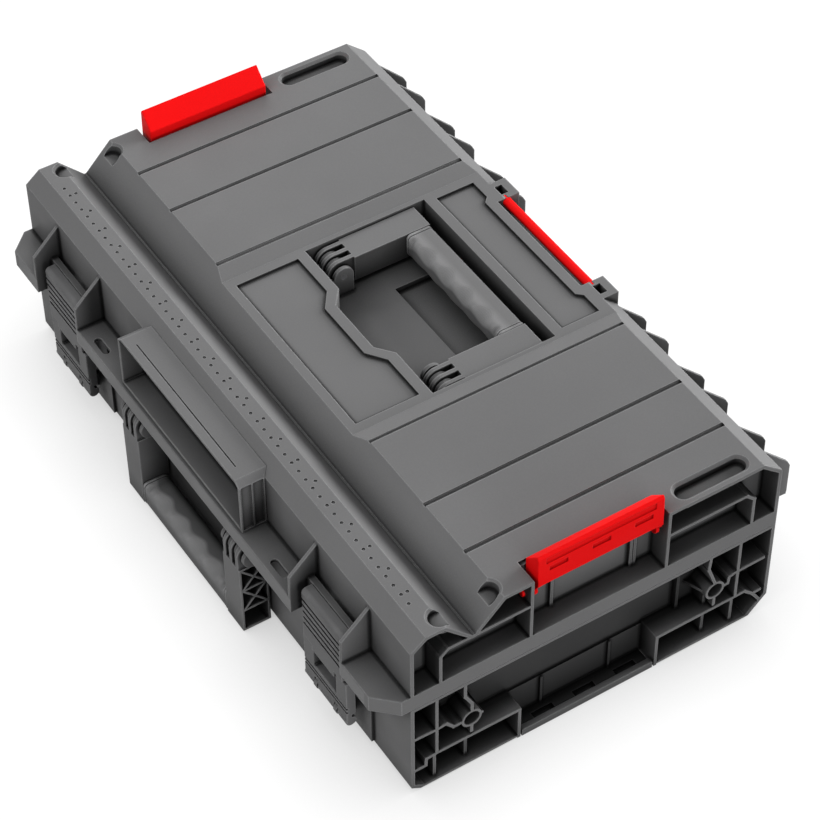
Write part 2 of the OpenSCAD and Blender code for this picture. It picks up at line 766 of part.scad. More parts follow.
// Cuts into the middle panel: its fall, fields, handle pocket and trough
module panel_cuts() {
    along_y(ridge_back_y + valley_run / 2, half_w + over)
        polygon([[-panel_half - panel_slope, top_z + over], [-panel_half - panel_slope, top_z],
            [-panel_half, panel_z], [panel_half, panel_z], [panel_half + panel_slope, top_z],
            [panel_half + panel_slope, top_z + over]]);
    along_z(panel_z - field_deep, top_z + over) {
        polygon(front_field());
        polygon(back_field());
    }
    along_z(pocket_floor, top_z + over) polygon(pocket_outline(0));
    box([-trough_half, top_pin_y + trough_front, pocket_floor - trough_deep],
        [trough_half, pocket_back, pocket_floor + over]);
}

// Notch for the red bar, with the seats of its ends and the square holes of its lugs
module bar_cuts() {
    box([-bar_half, plate_back_y - over, top_z - bar_notch_deep + wall],
        [bar_half, half_w + lug_back + over, top_z + over]);
    translate([0, bar_y, bar_z]) rotate([0, 90, 0])
        cylinder(r = bar_r + pin_play, h = 2 * (bar_half + bar_seat + pin_play), center = true);
    for (s = [-1, 1])
        translate([s * (bar_half + lug_hole_in + lug_hole[0] / 2), bar_y + lug_hole[1] / 4,
            top_z - lug_top - lug_hole[0] / 2])
            cube([lug_hole[0], lug_hole[1], 2 * lug_hole[0]], center = true);
}

// Grooves across the top plate
module top_grooves() {
    for (side = [-1, 1], s = groove_shares)
        translate([side * s * half_l, 0, 0]) along_y(slope_top_y - over, plate_back_y)
            polygon([[-groove_w / 2, top_z + over], [-groove_w / 2, top_z - groove_deep / 4],
                [0, top_z - groove_deep], [groove_w / 4, top_z - groove_deep],
                [groove_w / 2, top_z - groove_deep / 4], [groove_w / 2, top_z + over]]);
}

// Rows of small dimples along the ridge
module ridge_dimples() {
    for (row = dimple_rows) {
        count = floor((half_l - dimple_end) / row[0]);
        for (i = [-count : count])
            translate([i * row[0], ridge_front_y + row[1], top_z - ridge_drop - dimple_deep])
                cylinder(r = dimple_r, h = dimple_deep + over, $fn = 6);
    }
}

module lid_shell() {
    color(body_grey) difference() {
        union() {
            difference() {
                union() {
                    along_x(-lid_wall_x, lid_wall_x) polygon(lid_outline(lid_z));
                    belt();
                    both_ends() lid_end();
                    both_ends() bar_lug();
                }
                lid_cavity();
                both_ends() box([latch_x - gusset_half, -half_w - belt_reach - over, lid_z - over],
                    [latch_x + gusset_half, -half_w, belt_top + over]);
                panel_cuts();
            }
            both_ends() translate([latch_x, 0, 0]) latch_catch();
            for (x = hinge_places, s = [-1, 1]) translate([x + s * ear_half, 0, 0]) hinge_ear();
            both_ends() translate([0, top_pin_y, top_pin_z])
                handle_brackets(pocket_front + over, top_pin_z - pocket_floor + over, bracket_shares[0]);
        }
        bar_cuts();
        top_grooves();
        ridge_dimples();
        seal_ring(pin_play, lid_z - over);
        both_ends() {
            lid_end_cuts();
            translate([handle_half - 2 * arm_w, top_pin_y, top_pin_z]) rotate([0, 90, 0])
                cylinder(r = handle_pin_r + pin_play, h = 2 * arm_w + pocket_play / 2);
            translate([latch_x - gusset_half - belt_reach - gusset_t, -half_w - belt_reach * 2 / 3, 0])
                along_z(lid_z - over, belt_top + over) rotate(90) oblong_2d([belt_slot_w, belt_slot_l]);
        }
        for (x = hinge_places) translate([x, hinge_y, hinge_z]) rotate([0, 90, 0])
            cylinder(r = hinge_pin_r + pin_play, h = 2 * ear_half + 2 * ear_t, center = true);
    }
}

// Section of the holder, drawn t inside its outside
module holder_2d(t) {
    high = top_z - holder_drop;
    polygon([[-holder_half + t, belt_top + holder_seat + t], [holder_half - t, belt_top + holder_seat + t],
        [holder_half - t, high - holder_cut[1]], [holder_half - holder_cut[0], high - t],
        [-holder_half + holder_cut[0], high - t], [-holder_half + t, high - holder_cut[1]]]);
}

// Recesses between the upright ribs on one side of the holder
module holder_side_cuts() {
    pitch = (holder_front - holder_rib) / 2;
    for (k = [0, 1])
        box([holder_half - holder_side_deep, -half_w - holder_front + holder_rib + k * pitch,
            belt_top + holder_t], [holder_half + over, -half_w - holder_front + (k + 1) * pitch,
            top_z - holder_drop - holder_cut[1]]);
}

module front_holder() {
    front_y = -half_w - holder_front;
    color(body_grey) difference() {
        along_y(front_y, ridge_front_y) holder_2d(0);
        along_y(front_y - over, -half_w - holder_t) holder_2d(holder_t);
        along_x(-half_l, half_l) polygon([[-half_w - holder_seat, 0], [half_w, 0], [half_w, 2 * top_z],
            [ridge_front_y, 2 * top_z], [ridge_front_y, top_z - ridge_drop + holder_seat],
            [-half_w - holder_seat, top_z - front_wall_drop + holder_seat]]);
        both_ends() holder_side_cuts();
        box([-holder_line_half, front_y + holder_line, top_z - holder_drop - holder_line_w],
            [holder_line_half, front_y + holder_line + holder_line_w, top_z]);
    }
}

module lid_seal() {
    color(seal_black) seal_ring(0, lid_z);
}

module hinge_pins() {
    color(steel) for (x = hinge_places) translate([x, hinge_y, hinge_z]) rotate([0, 90, 0])
        cylinder(r = hinge_pin_r, h = 2 * ear_half + ear_t, center = true);
}

// Frame of a front latch, about the middle of the latch
module latch_frame() {
    half = latch_w / 2;
    difference() {
        union() {
            along_x(-half, half) translate([latch_front_y, frame_pin_z + latch_plate_low])
                square([latch_t, latch_window_low - latch_plate_low]);
            for (s = [-1, 1]) along_x(s * (half - latch_arm_w / 2) - latch_arm_w / 2,
                s * (half - latch_arm_w / 2) + latch_arm_w / 2)
                translate([latch_front_y, frame_pin_z + latch_plate_low])
                    square([latch_t, latch_link + latch_arm_top - latch_plate_low]);
            along_x(-half, half) {
                translate([latch_pin_y, frame_pin_z]) circle(latch_barrel_r);
                translate([latch_front_y, frame_pin_z])
                    square([latch_barrel_r, latch_plate_low + over]);
            }
        }
        for (s = [-1, 1])
            box([s * latch_ear_x - latch_ear_t / 2 - move_gap, latch_front_y - over,
                frame_pin_z - latch_barrel_r - over],
                [s * latch_ear_x + latch_ear_t / 2 + move_gap, latch_back_y + over,
                frame_pin_z + latch_plate_low]);
        translate([0, latch_pin_y, frame_pin_z]) rotate([0, 90, 0])
            cylinder(r = latch_pin_r + pin_play, h = latch_w - 2 * latch_ear_t, center = true);
        translate([0, latch_pin_y, lever_pin_z]) rotate([0, 90, 0])
            cylinder(r = latch_pin_r + pin_play, h = latch_w - latch_ear_t, center = true);
        for (k = [1, 2])
            box([-half - over, latch_front_y - over, frame_pin_z + latch_plate_low + k * latch_ear_t],
                [half + over, latch_front_y + frame_groove[1], frame_pin_z + latch_plate_low
                + k * latch_ear_t + frame_groove[0]]);
    }
}

// Lever of a front latch, about the middle of the latch
module latch_lever() {
    half = latch_w / 2 - lever_inset;
    tongue = latch_w / 2 - latch_arm_w - move_gap;
    low = lever_pin_z + lever_low;
    front = latch_front_y - lever_proud;
    difference() {
        union() {
            along_x(-half, half) {
                translate([front, low]) square([latch_back_y - front, lever_top - low - lever_round]);
                translate([front + lever_round, lever_top - lever_round]) circle(lever_round);
                translate([front + lever_round, low])
                    square([latch_back_y - front - lever_round, lever_top - low]);
            }
            along_x(-tongue, tongue) {
                translate([latch_pin_y, lever_pin_z]) circle(latch_t / 2);
                translate([front, lever_pin_z]) square([latch_t / 2 + lever_proud, lever_low + over]);
                translate([latch_pin_y, lever_pin_z]) square([latch_t / 2, lever_low + over]);
            }
        }
        for (k = [0 : 4])
            box([-half - over, front - over, lever_top - lever_groove_top - k * lever_groove_pitch
                - lever_groove[0]],
                [half - lever_inset / 2, front + lever_groove[1],
                lever_top - lever_groove_top - k * lever_groove_pitch]);
        box([-half + lever_inset, front + latch_t / 2, low + lever_inset],
            [half - lever_inset, latch_back_y + over, lever_top - 2 * lever_round]);
        translate([0, latch_pin_y, lever_pin_z]) rotate([0, 90, 0])
            cylinder(r = latch_pin_r + pin_play, h = latch_w, center = true);
    }
}

// The two pins of a front latch, about the middle of the latch
module frame_pin() {
    translate([0, latch_pin_y, frame_pin_z]) rotate([0, 90, 0])
        cylinder(r = latch_pin_r, h = latch_w - 2 * latch_ear_t - 2 * pin_play, center = true);
}

module lever_pin() {
    translate([0, latch_pin_y, lever_pin_z]) rotate([0, 90, 0])
        cylinder(r = latch_pin_r, h = latch_w - latch_ear_t - 2 * pin_play, center = true);
}

module latch_frame_left() { color(dark) translate([-latch_x, 0, 0]) latch_frame(); }
module latch_frame_right() { color(dark) translate([latch_x, 0, 0]) latch_frame(); }
module latch_lever_left() { color(dark) translate([-latch_x, 0, 0]) latch_lever(); }
module latch_lever_right() { color(dark) translate([latch_x, 0, 0]) latch_lever(); }
module latch_frame_pin_left() { color(steel) translate([-latch_x, 0, 0]) frame_pin(); }
module latch_frame_pin_right() { color(steel) translate([latch_x, 0, 0]) frame_pin(); }
module latch_lever_pin_left() { color(steel) translate([-latch_x, 0, 0]) lever_pin(); }
module latch_lever_pin_right() { color(steel) translate([latch_x, 0, 0]) lever_pin(); }

// Side outline of an open truss in the outer side of an arm
module truss_2d() {
    low = [arm_start + truss_t, handle_skin - handle_t + truss_t];
    high = [handle_reach - truss_t, handle_skin - truss_t];
    mid = (low[0] + handle_reach - grip_w) / 2;
    end = handle_reach - grip_w;
    difference() {
        translate(low) square(high - low);
        bar_2d(low, [mid, high[1]], truss_t);
        bar_2d([low[0], high[1]], [mid, low[1]], truss_t);
        bar_2d([mid, low[1]], [end, high[1]], truss_t);
        bar_2d([mid, high[1]], [end, low[1]], truss_t);
        bar_2d([mid, low[1]], [mid, high[1]], truss_t);
        bar_2d([end, low[1]], [end, high[1]], truss_t);
    }
}

// Middle of the grip, along the arm and from the axis
function grip_middle() = [handle_reach - grip_w / 2, handle_skin - handle_t / 2];

// Carry handle with its pin at the origin, lying along +Y with its outer face up
module handle() {
    difference() {
        union() {
            both_ends() {
                box([handle_half - arm_w, arm_start, handle_skin - handle_t],
                    [handle_half, handle_reach, handle_skin]);
                for (s = finger_shares) {
                    x = handle_half - arm_w + s * arm_w;
                    along_x(x - finger_t / 2, x + finger_t / 2) {
                        circle(handle_skin);
                        translate([0, -neck_low]) square([arm_start + over, handle_skin + neck_low]);
                    }
                }
            }
            along_x(-handle_half + arm_w - over, handle_half - arm_w + over)
                translate(grip_middle()) square(grip_core, center = true);
        }
        both_ends() along_x(handle_half - arm_pocket, handle_half + over) truss_2d();
        rotate([0, 90, 0]) cylinder(r = handle_pin_r + pin_play, h = handle_w + 2 * over, center = true);
    }
}

// Grip sleeve of a carry handle, with hollows on its finger side
module grip() {
    half = handle_half - arm_w - grip_end_gap;
    scallop_r = (scallop_w * scallop_w / 4 + scallop_deep * scallop_deep) / 2 / scallop_deep;
    difference() {
        along_x(-half, half) translate(grip_middle()) difference() {
            union() {
                round_rect([grip_w, handle_t], grip_round);
                translate([grip_w / 4, 0]) round_rect([grip_w / 2, handle_t], grip_edge_round);
            }
            square(grip_core + 2 * pin_play, center = true);
        }
        for (s = scallop_shares)
            translate([s * scallop_pitch, handle_reach - grip_w - scallop_r + scallop_deep, -handle_t])
                cylinder(r = scallop_r, h = 2 * handle_t, $fn = 96);
    }
}

// The two pins of a carry handle, which reach out to x = last
module handle_pins(last) {
    first = handle_half - arm_w + bracket_shares[0] * arm_w - bracket_t / 2;
    both_ends() translate([first, 0, 0]) rotate([0, 90, 0]) cylinder(r = handle_pin_r, h = last - first);
}

// Place of the front handle, hanging down in front of the base
module front_place() {
    translate([0, front_pin_y, front_pin_z]) rotate([90, 0, 0]) rotate([0, 0, 180]) children();
}

// Place of the top handle, lying in its pocket
module top_place() {
    translate([0, top_pin_y, top_pin_z]) children();
}

module front_handle() { color(dark) front_place() handle(); }
module front_handle_grip() { color(grip_grey) front_place() grip(); }
module front_handle_pins() {
    color(steel) front_place() handle_pins(handle_half + bracket_end + bracket_t / 2);
}
module top_handle() { color(dark) top_place() handle(); }
module top_handle_grip() { color(grip_grey) top_place() grip(); }
module top_handle_pins() { color(steel) top_place() handle_pins(handle_half + pocket_play / 2); }

// Red end latch of the +X end: an open channel between two cheeks
module end_latch() {
    difference() {
        union() {
            along_y(-end_latch_half, end_latch_half) difference() {
                polygon(end_latch_section(top_z - end_latch_low));
                polygon(end_latch_hollow());
            }
            for (s = [-1, 1])
                along_y(s * (end_latch_half - end_cheek / 2) - end_cheek / 2,
                    s * (end_latch_half - end_cheek / 2) + end_cheek / 2) {
                    polygon(end_latch_cheek());
                    translate([end_pin_x, end_pin_z]) circle(end_latch_boss);
                }
            for (side = [0, 1]) mirror([0, side, 0])
                along_y(end_latch_half - end_cheek / 2, end_rib_y + rib / 2 + end_stub_proud)
                    translate([end_pin_x, end_pin_z]) circle(end_latch_pin_r);
        }
        box([half_l - end_slot_in, -end_slot_long[0], top_z + end_slot_low],
            [half_l, end_slot_long[0], top_z + end_slot_low + end_slot_long[1]]);
        for (i = [-1 : 1])
            box([half_l - end_slot_in, i * end_slot_pitch - end_slot_short[0], top_z + end_slot_low
                - end_slot_gap - end_slot_short[1]],
                [half_l, i * end_slot_pitch + end_slot_short[0], top_z + end_slot_low - end_slot_gap]);
    }
}

module end_latch_right() { color(red) end_latch(); }
module end_latch_left() { color(red) mirror([1, 0, 0]) end_latch(); }

module rear_bar() {
    color(red) translate([0, bar_y, bar_z]) rotate([0, 90, 0])
        cylinder(r = bar_r, h = 2 * (bar_half + bar_seat), center = true);
}

base_shell();
lid_shell();
front_holder();
lid_seal();
hinge_pins();
latch_frame_left();
latch_frame_right();
latch_lever_left();
latch_lever_right();
latch_frame_pin_left();
latch_frame_pin_right();
latch_lever_pin_left();
latch_lever_pin_right();
front_handle();
front_handle_grip();
front_handle_pins();
top_handle();
top_handle_grip();
top_handle_pins();
end_latch_left();
end_latch_right();
rear_bar();
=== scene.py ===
"""Looks of the hard tool case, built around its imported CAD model."""
import json
import math

import bmesh
import bpy
from mathutils import Matrix, Vector


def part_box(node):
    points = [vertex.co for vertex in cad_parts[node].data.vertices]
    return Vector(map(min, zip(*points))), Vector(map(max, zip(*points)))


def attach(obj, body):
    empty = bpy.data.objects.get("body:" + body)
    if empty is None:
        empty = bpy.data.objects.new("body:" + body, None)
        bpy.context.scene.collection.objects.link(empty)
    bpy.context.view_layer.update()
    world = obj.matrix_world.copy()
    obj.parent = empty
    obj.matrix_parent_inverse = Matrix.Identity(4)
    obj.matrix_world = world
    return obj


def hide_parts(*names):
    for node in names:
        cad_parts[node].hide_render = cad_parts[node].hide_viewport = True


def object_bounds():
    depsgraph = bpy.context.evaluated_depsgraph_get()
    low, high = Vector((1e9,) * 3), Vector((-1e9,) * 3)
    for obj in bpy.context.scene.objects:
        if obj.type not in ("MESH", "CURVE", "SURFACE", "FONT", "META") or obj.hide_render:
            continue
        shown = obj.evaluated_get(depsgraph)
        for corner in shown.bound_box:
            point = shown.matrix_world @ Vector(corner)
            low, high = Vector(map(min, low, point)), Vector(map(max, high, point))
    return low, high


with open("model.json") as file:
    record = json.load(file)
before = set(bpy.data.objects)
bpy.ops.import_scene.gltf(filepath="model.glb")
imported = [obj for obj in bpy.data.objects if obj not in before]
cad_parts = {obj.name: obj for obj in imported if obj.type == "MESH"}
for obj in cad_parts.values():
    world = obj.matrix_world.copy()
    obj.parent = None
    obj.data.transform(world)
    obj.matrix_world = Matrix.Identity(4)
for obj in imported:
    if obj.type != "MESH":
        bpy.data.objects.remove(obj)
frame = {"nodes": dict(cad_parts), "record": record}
cad_low, cad_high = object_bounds()

# Millimetre in Blender's metres
MM = 0.001
HALF_LENGTH = cad_high[0]
# Outer faces of the front and back walls, from the middle
WALL_Y = 0.1636


def link(tree, source, target):
    """Joins an output socket to an input socket."""
    tree.links.new(source, target)


# Camera, as fitted to the photograph


def make_camera():
    azimuth = math.radians(57.871)
    elevation = math.radians(46.358)
    roll = math.radians(-0.615)
    place = Vector((1304.76, -797.26, 1662.90)) * MM
    focal_pixels = 2746.3
    image_pixels = 820
    sensor = 36.0
    back = Vector((math.sin(azimuth) * math.cos(elevation),
                   -math.cos(azimuth) * math.cos(elevation), math.sin(elevation)))
    right = Vector((math.cos(azimuth), math.sin(azimuth), 0.0))
    up = back.cross(right)
    rolled_right = math.cos(roll) * right + math.sin(roll) * up
    rolled_up = math.cos(roll) * up - math.sin(roll) * right
    data = bpy.data.cameras.new("camera")
    data.sensor_width = sensor
    data.lens = focal_pixels / image_pixels * sensor
    data.clip_start = 0.05
    data.clip_end = 50.0
    camera = bpy.data.objects.new("camera", data)
    bpy.context.scene.collection.objects.link(camera)
    axes = Matrix((rolled_right, rolled_up, back)).transposed()
    camera.matrix_world = Matrix.Translation(place) @ axes.to_4x4()
    bpy.context.scene.camera = camera


# Studio: a white world and floor, and broad low lights all round

# The floor lies this far under the case, in mm, so that no faces coincide
FLOOR_DROP = 0.5
# Point that the lamps face, in the middle of the case
LAMP_AIM = Vector((0, 0, 0.1))
# Name, azimuth, elevation, level and size of each lamp
LAMPS = (("soft_top", -60, 84, 0.2, 1.6),
         ("soft_front", -90, 40, 0.44, 1.6),
         ("soft_right", -5, 7, 0.46, 0.8),
         ("soft_back", 90, 15, 1.3, 1.2),
         ("soft_left", 165, 30, 0.36, 1.2))


def seen_directly(tree):
    """1 for rays that show the background: from the camera, off gloss, or through glass."""
    rays = tree.nodes.new("ShaderNodeLightPath")
    total = rays.outputs["Is Camera Ray"]
    for kind in ("Is Transmission Ray", "Is Glossy Ray"):
        either = tree.nodes.new("ShaderNodeMath")
        either.operation = "MAXIMUM"
        link(tree, total, either.inputs[0])
        link(tree, rays.outputs[kind], either.inputs[1])
        total = either.outputs[0]
    return total


def make_world(ambient=0.07):
    world = bpy.data.worlds.new("studio")
    bpy.context.scene.world = world
    world.use_nodes = True
    tree = world.node_tree
    tree.nodes.clear()
    mix = tree.nodes.new("ShaderNodeMixShader")
    for socket, strength in ((1, ambient), (2, 1.0)):
        background = tree.nodes.new("ShaderNodeBackground")
        background.inputs["Color"].default_value = (1, 1, 1, 1)
        background.inputs["Strength"].default_value = strength
        link(tree, background.outputs[0], mix.inputs[socket])
    link(tree, seen_directly(tree), mix.inputs["Fac"])
    out = tree.nodes.new("ShaderNodeOutputWorld")
    link(tree, mix.outputs[0], out.inputs["Surface"])


def make_floor(half=12.0, contact=0.45, reach=0.1, tone=0.07):
    """White floor: its own white falls towards the case as a painted shadow, and a part of diffuse
    keeps the real shadow.
    """
    data = bpy.data.meshes.new("floor")
    corners = [(-half, -half, 0), (half, -half, 0), (half, half, 0), (-half, half, 0)]
    data.from_pydata(corners, [], [(0, 1, 2, 3)])
    floor = bpy.data.objects.new("floor", data)
    floor.location.z = -FLOOR_DROP * MM
    bpy.context.scene.collection.objects.link(floor)
    material = bpy.data.materials.new("floor_white")
    material.use_nodes = True
    tree = material.node_tree
    tree.nodes.clear()
    diffuse = tree.nodes.new("ShaderNodeBsdfDiffuse")
    diffuse.inputs["Color"].default_value = (tone, tone, tone, 1)
    near = tree.nodes.new("ShaderNodeAmbientOcclusion")
    near.inputs["Distance"].default_value = reach
    white = tree.nodes.new("ShaderNodeEmission")
    white.inputs["Color"].default_value = (1, 1, 1, 1)
    # Painted shadow: the white falls to the contact level near the case
    level = spread(tree, near.outputs["AO"], contact, 1.0, 0.0, 1.0)
    link(tree, math_node(tree, "MULTIPLY", level, seen_directly(tree)), white.inputs["Strength"])
    both = tree.nodes.new("ShaderNodeAddShader")
    link(tree, diffuse.outputs[0], both.inputs[0])
    link(tree, white.outputs[0], both.inputs[1])
    out = tree.nodes.new("ShaderNodeOutputMaterial")
    link(tree, both.outputs[0], out.inputs["Surface"])
    data.materials.append(material)


def make_area_light(name, azimuth, elevation, level, size, distance=2.6):
    """Square lamp round the case that lights a facing surface to the given level."""
    turn, lift = math.radians(azimuth), math.radians(elevation)
    away = Vector((math.cos(turn) * math.cos(lift), math.sin(turn) * math.cos(lift),
                   math.sin(lift)))
    data = bpy.data.lights.new(name, "AREA")
    data.shape = "SQUARE"
    data.size = size
    data.energy = level * (math.pi * distance) ** 2
    lamp = bpy.data.objects.new(name, data)
    lamp.location = LAMP_AIM + away * distance
    lamp.rotation_euler = away.to_track_quat("Z", "Y").to_euler()
    bpy.context.scene.collection.objects.link(lamp)


def make_lights():
    for lamp in LAMPS:
        make_area_light(*lamp)


# Materials

# Scales of the noise that varies tone, speck, edge wear and painted edge highlight, roughness and
# grain
MOTTLE_SCALE = 9.0
SPECK_SCALE = 900.0
EDGE_WEAR_AND_HIGHLIGHT_SCALE = 160.0
ROUGH_SCALE = 30.0
GRAIN_SCALE = 2200.0
DRAWN_SCALE = 700.0
# Width of the softened edges, reach of the painted shade in grooves and height of the grain, in mm
SOFT_EDGE = 1.5
GROOVE_REACH = 3.5
GRAIN_HEIGHT = 0.2
# Darkest share of the tone in the painted shade of wide recesses
RECESS_DARKEST = 0.15
# Shift of the roughness over a piece, and how much smoother a worn edge is
ROUGH_SHIFT = 0.05
WORN_SMOOTHER = 0.1
# Boxes of the painted shades and the painted highlight below, at rest, from low to high: |x|, y and
# z in mm
HANDLE_WALL = ((0, -165, 2), (90, -162, 98))
BELT_SLOT = ((128, -183.8, 80), (148.7, -176.6, 113))
BELT_FRONT = ((0, -188.8, 98), (270, -188.2, 113.6))
# Level of the painted shade on the wall behind the front handle
HANDLE_WALL_SHADE_LEVEL = 0.35
# Where the painted shade on that wall fades out along x, and fades in along z
HANDLE_WALL_SIDES = (58, 74)
HANDLE_WALL_FOOT = (4, 24)
# Levels of the painted shade in the belt slots and of the painted highlight on the belt's front
BELT_SLOT_SHADE_LEVEL = 0.12
BELT_FRONT_HIGHLIGHT_LEVEL = 1.3
# Pieces above this height belong to the top handle; the product of normal and place along x
# is under the limit on its arms' inner sides
TOP_HANDLE_LOW = 140
INWARD_LIMIT = -0.04
# Level of the painted shade on those inner sides
ARM_SIDE_SHADE_LEVEL = 0.5
# Inner face and finger side of the top grip (z, y) and of the front grip (y, z), which lies
# in front of the limit
TOP_GRIP = (143, 62.2)
FRONT_GRIP = (-165.6, 24.5)
FRONT_LIMIT = -150
# Wavy border on the finger side: height, half of its wave and half of its width, in mm
BORDER = 15
BORDER_WAVE = 2
BORDER_SOFT = 1.5
# Levels of the painted shade on the finger side and of the painted highlight on the outer edge
FINGER_SHADE_LEVEL = 0.65
OUTER_HIGHLIGHT_LEVEL = 1.35
# Reach over which the painted shade of the finger side fades out
FINGER_FADE = (8, 14)
# End bays: depth, distance of their sides from the walls and top, in mm, and the steepest
# normal of a wall; between the two heights the base's painted shade turns into the lid's
BAY_DEPTH = 22
BAY_SIDE = 2
BAY_TOP = 148
UPRIGHT = 0.3
BASE_TO_LID = (98, 112)


def math_node(tree, operation, *values):
    """Result of a math node whose inputs are sockets or numbers."""
    node = tree.nodes.new("ShaderNodeMath")
    node.operation = operation
    for socket, value in zip(node.inputs, values):
        if isinstance(value, (int, float)):
            socket.default_value = value
        else:
            link(tree, value, socket)
    return node.outputs[0]


def noise(tree, coordinates, scale, detail=2.0):
    node = tree.nodes.new("ShaderNodeTexNoise")
    node.inputs["Scale"].default_value = scale
    node.inputs["Detail"].default_value = detail
    link(tree, coordinates, node.inputs["Vector"])
    return node.outputs["Fac"]


def spread(tree, value, low, high, start=0.3, end=0.7):
    """Maps start to end of a value to low to high."""
    node = tree.nodes.new("ShaderNodeMapRange")
    for name, number in (("From Min", start), ("From Max", end),
                         ("To Min", low), ("To Max", high)):
        node.inputs[name].default_value = number
    link(tree, value, node.inputs["Value"])
    return node.outputs["Result"]


def edge_mask(tree, rounded_normal, strength=25.0):
    """1 along edges, where the rounded normal leaves the face's own."""
    own = tree.nodes.new("ShaderNodeNewGeometry").outputs["True Normal"]
    dot = tree.nodes.new("ShaderNodeVectorMath")
    dot.operation = "DOT_PRODUCT"
    link(tree, rounded_normal, dot.inputs[0])
    link(tree, own, dot.inputs[1])
    away = math_node(tree, "SUBTRACT", 1.0, dot.outputs["Value"])
    node = tree.nodes.new("ShaderNodeClamp")
    link(tree, math_node(tree, "MULTIPLY", away, strength), node.inputs["Value"])
    return node.outputs[0]


def recess_shade(tree, reach, power, local=True, darkest=0.0):
    """Painted shade: 1 in the open, falling to darkest in recesses within reach, in mm."""
    shade = tree.nodes.new("ShaderNodeAmbientOcclusion")
    shade.samples = 8
    shade.only_local = local
    shade.inputs["Distance"].default_value = reach * MM
    open_share = math_node(tree, "POWER", shade.outputs["AO"], power)
    return spread(tree, open_share, darkest, 1.0, 0.0, 1.0)


def rest_place(tree):
    """Place in the piece's own frame, the shared one at rest: a shade rides with its body."""
    place = tree.nodes.new("ShaderNodeSeparateXYZ")
    link(tree, tree.nodes.new("ShaderNodeTexCoord").outputs["Object"], place.inputs[0])
    return place.outputs


def rest_normal(tree):
    """Direction of the face in the piece's own frame."""
    turned = tree.nodes.new("ShaderNodeVectorTransform")
    turned.vector_type = "NORMAL"
    turned.convert_from = "WORLD"
    turned.convert_to = "OBJECT"
    link(tree, tree.nodes.new("ShaderNodeNewGeometry").outputs["True Normal"], turned.inputs[0])
    own = tree.nodes.new("ShaderNodeSeparateXYZ")
    link(tree, turned.outputs[0], own.inputs[0])
    return own.outputs


def shaded(tree, mask, level):
    """Level where the mask is 1, and 1 where it is 0."""
    change = math_node(tree, "SUBTRACT", level, 1.0)
    return math_node(tree, "MULTIPLY_ADD", mask, change, 1.0)


def within(tree, place, low, high):
    """1 inside the box from low to high, on both ends of the case, in mm at rest."""
    mask = 1.0
    sides = (math_node(tree, "ABSOLUTE", place["X"]), place["Y"], place["Z"])
    for side, start, end in zip(sides, low, high):
        near = math_node(tree, "COMPARE", side, (start + end) / 2 * MM, (end - start) / 2 * MM)
        mask = math_node(tree, "MULTIPLY", near, mask)
    return mask


def front_shade_and_highlight(tree):
    """Painted shade behind the front handle and in the belt slots, and a painted highlight on the
    front of the belt.
    """
    place = rest_place(tree)
    along = math_node(tree, "ABSOLUTE", place["X"])
    behind = within(tree, place, *HANDLE_WALL)
    for value, low, high, fade in ((along, 1.0, 0.0, HANDLE_WALL_SIDES),
                                   (place["Z"], 0.0, 1.0, HANDLE_WALL_FOOT)):
        soft = spread(tree, value, low, high, fade[0] * MM, fade[1] * MM)
        behind = math_node(tree, "MULTIPLY", behind, soft)
    shade = shaded(tree, behind, HANDLE_WALL_SHADE_LEVEL)
    for box, level in ((BELT_SLOT, BELT_SLOT_SHADE_LEVEL), (BELT_FRONT, BELT_FRONT_HIGHLIGHT_LEVEL)):
        change = shaded(tree, within(tree, place, *box), level)
        shade = math_node(tree, "MULTIPLY", shade, change)
    return shade


def arm_shade(tree):
    """Painted shade on the inner sides of the top handle's arms, which lie in the pocket."""
    place = rest_place(tree)
    inward = math_node(tree, "MULTIPLY", rest_normal(tree)["X"], place["X"])
    inward = math_node(tree, "LESS_THAN", inward, INWARD_LIMIT)
    top = math_node(tree, "GREATER_THAN", place["Z"], TOP_HANDLE_LOW * MM)
    return shaded(tree, math_node(tree, "MULTIPLY", inward, top), ARM_SIDE_SHADE_LEVEL)


def finger_shade_and_highlight(tree):
    """Painted shade on the finger side of both grips, with a wavy border to a painted highlight on
    their outer edge.
    """
    place = rest_place(tree)
    front = math_node(tree, "LESS_THAN", place["Y"], FRONT_LIMIT * MM)
    heights = (math_node(tree, "SUBTRACT", place["Z"], TOP_GRIP[0] * MM),
               math_node(tree, "SUBTRACT", FRONT_GRIP[0] * MM, place["Y"]))
    reaches = (math_node(tree, "SUBTRACT", place["Y"], TOP_GRIP[1] * MM),
               math_node(tree, "SUBTRACT", FRONT_GRIP[1] * MM, place["Z"]))
    measures = []
    for top, fore in (heights, reaches):
        step = math_node(tree, "SUBTRACT", fore, top)
        measures.append(math_node(tree, "MULTIPLY_ADD", front, step, top))
    height, reach = measures
    turn = math_node(tree, "MULTIPLY", place["X"], 2 * math.pi / (HOLLOW_PITCH * MM))
    wave = math_node(tree, "COSINE", turn)
    border = math_node(tree, "MULTIPLY_ADD", wave, BORDER_WAVE * MM, BORDER * MM)
    above = math_node(tree, "SUBTRACT", height, border)
    level = spread(tree, above, FINGER_SHADE_LEVEL, OUTER_HIGHLIGHT_LEVEL, -BORDER_SOFT * MM, BORDER_SOFT * MM)
    start, end = FINGER_FADE
    return shaded(tree, spread(tree, reach, 1.0, 0.0, start * MM, end * MM), level)


